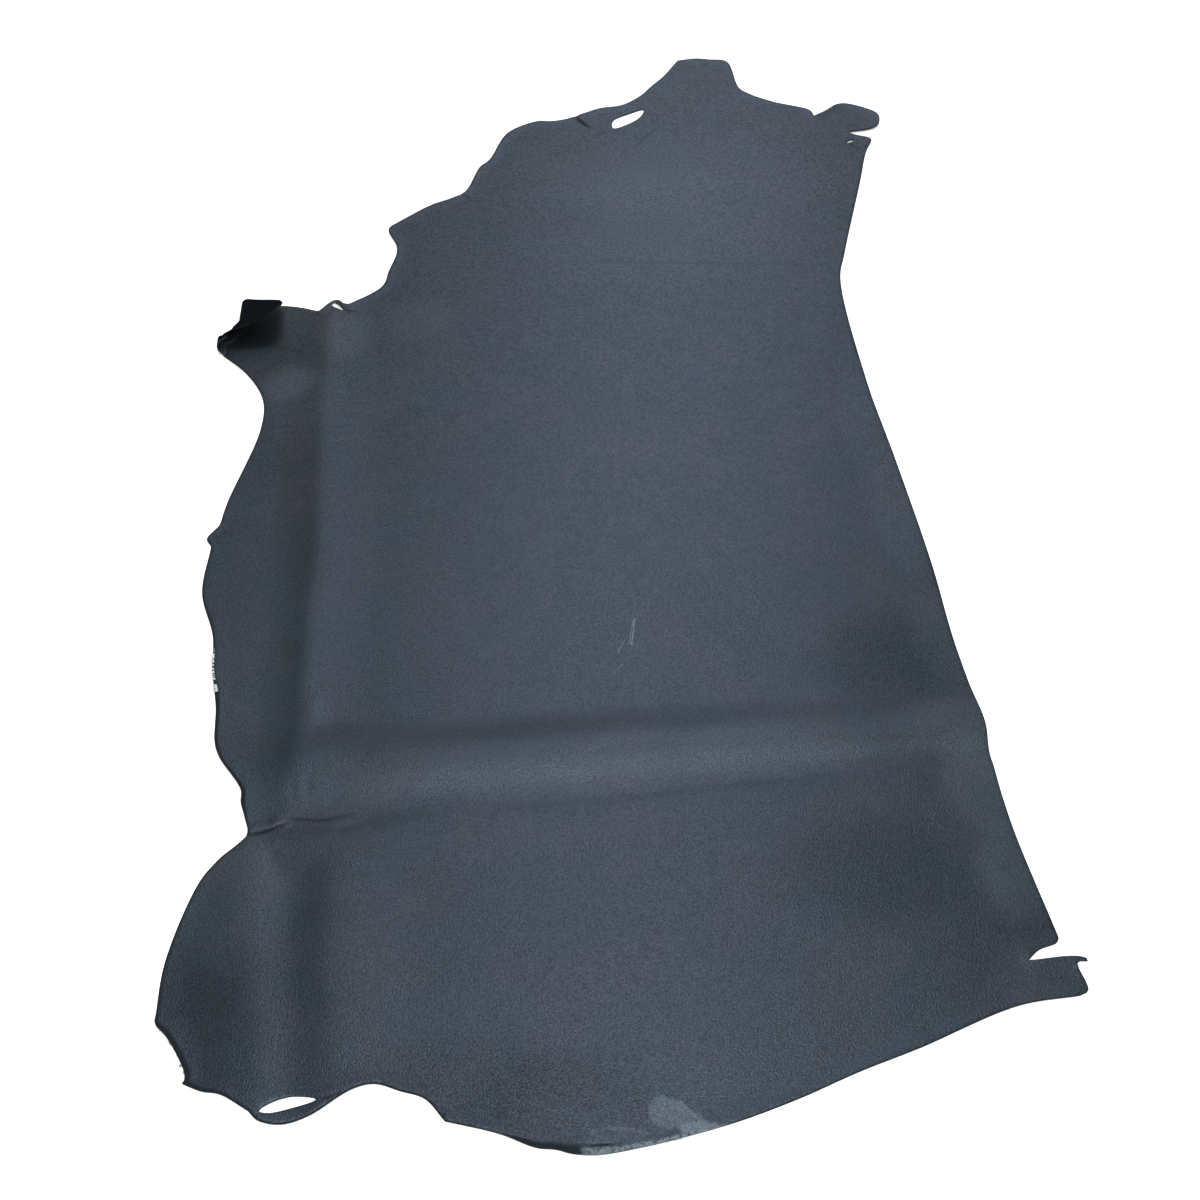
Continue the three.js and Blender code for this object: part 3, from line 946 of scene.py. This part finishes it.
# The flesh: the shaved inside of the hide, a short matt nap, dyed almost black
NAP_DARK = (0.0012, 0.0015, 0.0021)
NAP_PALE = (0.0032, 0.0040, 0.0054)
NAP_DEPTH = 0.0006
NAP_GLOSS = 0.03
NAP_ROUGHNESS = 0.88
flesh, shader, place = leather_material("flesh", NAP_GLOSS)
nap = place.noise(520.0, detail=4.0, roughness=0.75)
drawn = place.noise(30.0, detail=3.0, roughness=0.6)
colour = (nap * 0.6 + drawn * 0.4).colours(NAP_DARK, NAP_PALE)
feed(shader, Base_Color=colour, Roughness=nap * 0.1 + NAP_ROUGHNESS, Normal=nap.relief(NAP_DEPTH))
side_mesh.materials.append(flesh)

# The cut edge: the knife's section through the hide, fibrous, dark, paler where the rim is worn, and darker
# under the rolled shank with painted shade
CUT_DARK = (0.010, 0.012, 0.015)
CUT_PALE = (0.030, 0.034, 0.040)
CUT_DEPTH = 0.0005
CUT_GLOSS = 0.12
CUT_ROUGHNESS = 0.7
CUT_STRETCH = (1.0, 1.0, 3.0)  # the fibres lie flat in the hide
cut, shader, place = leather_material("cut_edge", CUT_GLOSS)
stretched = place.node("Mapping", "Vector", {}, {"Vector": place, "Scale": CUT_STRETCH})
fibres = stretched.noise(480.0, detail=4.0, roughness=0.7)
colour = fibres.rising(0.35, 0.7).colours(CUT_DARK, CUT_PALE)
colour = (place.point_value("rim_pale") * fibres.rising(0.3, 0.6)).colours(colour, RAW_PALE)
# painted shade under the rolled shank darkens the cut edge there
colour = place.point_value("shade").colours(colour, BARE_AND_PAINTED_SHADE)
feed(shader, Base_Color=colour, Roughness=fibres * 0.2 + CUT_ROUGHNESS, Normal=fibres.relief(CUT_DEPTH))
side_mesh.materials.append(cut)

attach(side, "root")
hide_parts("leather_side")

# The loose fibres
# Where the shaving knife ran off the rim the hide has frayed: loose fibres of the hide itself, a few
# millimetres long and pale where the dye did not reach them, in tufts along the belly, the butt and the
# end of the hind shank.
FRAYS = [
    {
        "fray": "belly_fray", "spacing": 0.25, "length": 9.0, "thickness": 0.4, "tuft": 4.2, "seed": 3,
        "depth": 3.5, "height": 2.6, "colour": (0.50, 0.53, 0.52),
        "places": [(664, 1080), (700, 1089), (738, 1092)],
    },
    {
        "fray": "butt_fray", "spacing": 0.8, "length": 3.5, "thickness": 0.5, "tuft": 9.0, "seed": 5,
        "depth": 1.5, "height": 1.6, "colour": (0.11, 0.14, 0.165),
        "places": [(16, 453), (11, 481), (5, 520), (3, 560), (0, 585), (1, 603)],
    },
    {
        "fray": "hind_shank_fray", "spacing": 1.0, "length": 4.0, "thickness": 0.5, "tuft": 9.0, "seed": 7,
        "depth": 1.5, "height": 1.6, "colour": (0.010, 0.012, 0.013),
        "places": [(129, 1065), (179, 1093), (192, 1106)],
    },
]
FRAY_STEP = 3.0
FIBRE_SIDES = 3
FIBRE_SIZES = (0.4, 1.3)  # the shortest and the longest fibre, in lengths of the fray
STRAY_LOW = (-0.5, -0.3, 0.0)  # how far a fibre strays from straight out of the rim
STRAY_HIGH = (0.5, 0.6, 0.4)
TUFTED = 0.5  # the noise above which there are fibres
FRAY_GLOSS = 0.2
FRAY_ROUGHNESS = 0.8

fraying = bpy.data.node_groups.new("frayed_rim", "GeometryNodeTree")
for name, kind in (
    ("Rim", "Geometry"), ("Spacing", "Float"), ("Length", "Float"), ("Thickness", "Float"), ("Tuft", "Float"),
    ("Seed", "Int"), ("Material", "Material"),
):
    fraying.interface.new_socket(name, in_out="INPUT", socket_type="NodeSocket" + kind)
fraying.interface.new_socket("Fibres", in_out="OUTPUT", socket_type="NodeSocketGeometry")
given = fraying.nodes.new("NodeGroupInput").outputs
rim_curve = add_node(fraying, "GeometryNodeMeshToCurve", {}, {"Mesh": given["Rim"]})
roots = add_node(
    fraying, "GeometryNodeCurveToPoints", {"mode": "LENGTH"},
    {"Curve": rim_curve.outputs[0], "Length": given["Spacing"]},
)
fibre = add_node(
    fraying, "GeometryNodeMeshCone", {"fill_type": "NGON"},
    {
        "Vertices": FIBRE_SIDES, "Radius Top": 0.0, "Radius Bottom": given["Thickness"],
        "Depth": given["Length"],
    },
)
outward = add_node(
    fraying, "GeometryNodeInputNamedAttribute", {"data_type": "FLOAT_VECTOR"}, {"Name": "outward"}
)
stray = add_node(
    fraying, "FunctionNodeRandomValue", {"data_type": "FLOAT_VECTOR"},
    {"Min": STRAY_LOW, "Max": STRAY_HIGH, "Seed": given["Seed"]},
)
aim = add_node(
    fraying, "ShaderNodeVectorMath", {}, {"Vector": outward.outputs[0], "Vector_001": stray.outputs[0]}
)
turn = add_node(fraying, "FunctionNodeAlignRotationToVector", {"axis": "Z"}, {"Vector": aim.outputs[0]})
size = add_node(
    fraying, "FunctionNodeRandomValue", {"data_type": "FLOAT"},
    {"Min_001": FIBRE_SIZES[0], "Max_001": FIBRE_SIZES[1], "Seed": given["Seed"]},
)
tufts_a_metre = add_node(
    fraying, "ShaderNodeMath", {"operation": "DIVIDE"}, {"Value": 1.0, "Value_001": given["Tuft"]}
)
clumps = add_node(fraying, "ShaderNodeTexNoise", {}, {"Scale": tufts_a_metre.outputs[0]})
tufted = add_node(
    fraying, "FunctionNodeCompare", {"operation": "GREATER_THAN"}, {"A": clumps.outputs[0], "B": TUFTED}
)
tuft = add_node(
    fraying, "GeometryNodeInstanceOnPoints", {},
    {
        "Points": roots.outputs[0], "Selection": tufted.outputs[0], "Instance": fibre.outputs[0],
        "Rotation": turn.outputs[0], "Scale": size.outputs[1],
    },
)
real = add_node(fraying, "GeometryNodeRealizeInstances", {}, {"Geometry": tuft.outputs[0]})
dyed = add_node(
    fraying, "GeometryNodeSetMaterial", {}, {"Geometry": real.outputs[0], "Material": given["Material"]}
)
add_node(fraying, "NodeGroupOutput", {}, {"Fibres": dyed.outputs[0]})

for row in FRAYS:
    rim = smooth_edge(row["places"], False, FRAY_STEP)
    ahead = np.gradient(rim, axis=0)
    outwards = np.stack([-ahead[:, 1], ahead[:, 0]], axis=1) / np.hypot(*ahead.T)[:, None]
    rim_mesh = bpy.data.meshes.new(row["fray"])
    rim_mesh.from_pydata(
        lay_down(rim - row["depth"] * outwards, row["height"]).tolist(),
        [(index, index + 1) for index in range(len(rim) - 1)], [],
    )
    layer = rim_mesh.attributes.new("outward", "FLOAT_VECTOR", "POINT")
    layer.data.foreach_set("vector", np.column_stack([outwards, np.zeros(len(rim))]).ravel())
    fibre_finish, shader, _ = leather_material(row["fray"], FRAY_GLOSS)
    shader.inputs["Base Color"].default_value = (*row["colour"], 1.0)
    shader.inputs["Roughness"].default_value = FRAY_ROUGHNESS
    maker = bpy.data.objects.new(row["fray"], rim_mesh)
    bpy.context.scene.collection.objects.link(maker)
    modifier = maker.modifiers.new("fray", "NODES")
    modifier.node_group = fraying
    values = {
        "Spacing": row["spacing"] * MM, "Length": row["length"] * MM, "Thickness": row["thickness"] * MM,
        "Tuft": row["tuft"] * MM, "Seed": row["seed"], "Material": fibre_finish,
    }
    for entry in fraying.interface.items_tree:
        if entry.name in values:
            modifier[entry.identifier] = values[entry.name]
    tufts = bpy.data.meshes.new_from_object(maker.evaluated_get(bpy.context.evaluated_depsgraph_get()))
    maker.modifiers.remove(modifier)
    maker.data = tufts
    bpy.data.meshes.remove(rim_mesh)
    tufts.name = row["fray"]
    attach(maker, "root")

# The floor, the light and the camera
# A pale floor just under the side, an even pale room, and a row of three large soft lights overhead that runs
# the way the camera looks, so that their sheen lies along the middle of the side.
FLOOR_SIZE = 14.0
FLOOR_DROP = 0.0008
FLOOR_COLOUR = (0.93, 0.93, 0.93)
FLOOR_ROUGHNESS = 0.9
ROOM_BRIGHTNESS = 0.74
LIGHT_HEIGHT = 2.6
ROOM_COLOUR = (0.94, 1.0, 0.94)
LIGHTS = [
    {
        "light": "overhead", "near_end": -1.6, "far_end": 0.5, "across": 0.1, "width": 0.9,
        "brightness": 16.5, "colour": (1.0, 0.98, 0.95),
    },
    {
        "light": "ahead", "near_end": 1.22, "far_end": 3.2, "across": 0.03, "width": 0.9,
        "brightness": 8.1, "colour": (0.985, 0.965, 0.985),
    },
    {
        "light": "far", "near_end": 3.4, "far_end": 5.75, "across": 0.35, "width": 0.9,
        "brightness": 8.05, "colour": (0.72, 0.795, 1.0),
    },
]
CAMERA_PLACE = (-0.14325, -1.42604, 1.470)
CAMERA_TILT = 36.2
CAMERA_HEADING = -5.3
CAMERA_LENS = 36.0  # as long as the sensor is wide

floor_mesh = bpy.data.meshes.new("floor")
half = FLOOR_SIZE / 2
corners = [(-half, -half), (half, -half), (half, half), (-half, half)]
floor_mesh.from_pydata([(*corner, -FLOOR_DROP) for corner in corners], [], [(0, 1, 2, 3)])
floor = bpy.data.objects.new("floor", floor_mesh)
bpy.context.scene.collection.objects.link(floor)
floor_finish = bpy.data.materials.new("floor")
floor_finish.use_nodes = True
shader = floor_finish.node_tree.nodes["Principled BSDF"]
shader.inputs["Base Color"].default_value = (*FLOOR_COLOUR, 1.0)
shader.inputs["Roughness"].default_value = FLOOR_ROUGHNESS
floor_mesh.materials.append(floor_finish)

room = bpy.data.worlds.new("room")
room.use_nodes = True
background = room.node_tree.nodes["Background"]
background.inputs["Color"].default_value = (*ROOM_COLOUR, 1.0)
background.inputs["Strength"].default_value = ROOM_BRIGHTNESS
bpy.context.scene.world = room

heading = math.radians(CAMERA_HEADING)
for row in LIGHTS:
    lamp = bpy.data.lights.new(row["light"], "AREA")
    lamp.shape = "RECTANGLE"
    lamp.size = row["width"]
    lamp.size_y = row["far_end"] - row["near_end"]
    lamp.energy = row["brightness"] * math.pi * lamp.size * lamp.size_y
    lamp.color = row["colour"]
    ahead = (row["near_end"] + row["far_end"]) / 2
    light = bpy.data.objects.new(row["light"], lamp)
    light.location = (
        CAMERA_PLACE[0] + row["across"] * math.cos(heading) - ahead * math.sin(heading),
        CAMERA_PLACE[1] + row["across"] * math.sin(heading) + ahead * math.cos(heading),
        LIGHT_HEIGHT,
    )
    light.rotation_euler = (0, 0, heading)
    bpy.context.scene.collection.objects.link(light)

lens = bpy.data.cameras.new("camera")
lens.lens = CAMERA_LENS
lens.sensor_width = CAMERA_LENS
camera = bpy.data.objects.new("camera", lens)
camera.location = CAMERA_PLACE
camera.rotation_euler = (math.radians(CAMERA_TILT), 0, heading)
bpy.context.scene.collection.objects.link(camera)
bpy.context.scene.camera = camera
bpy.context.scene.view_settings.view_transform = "Standard"
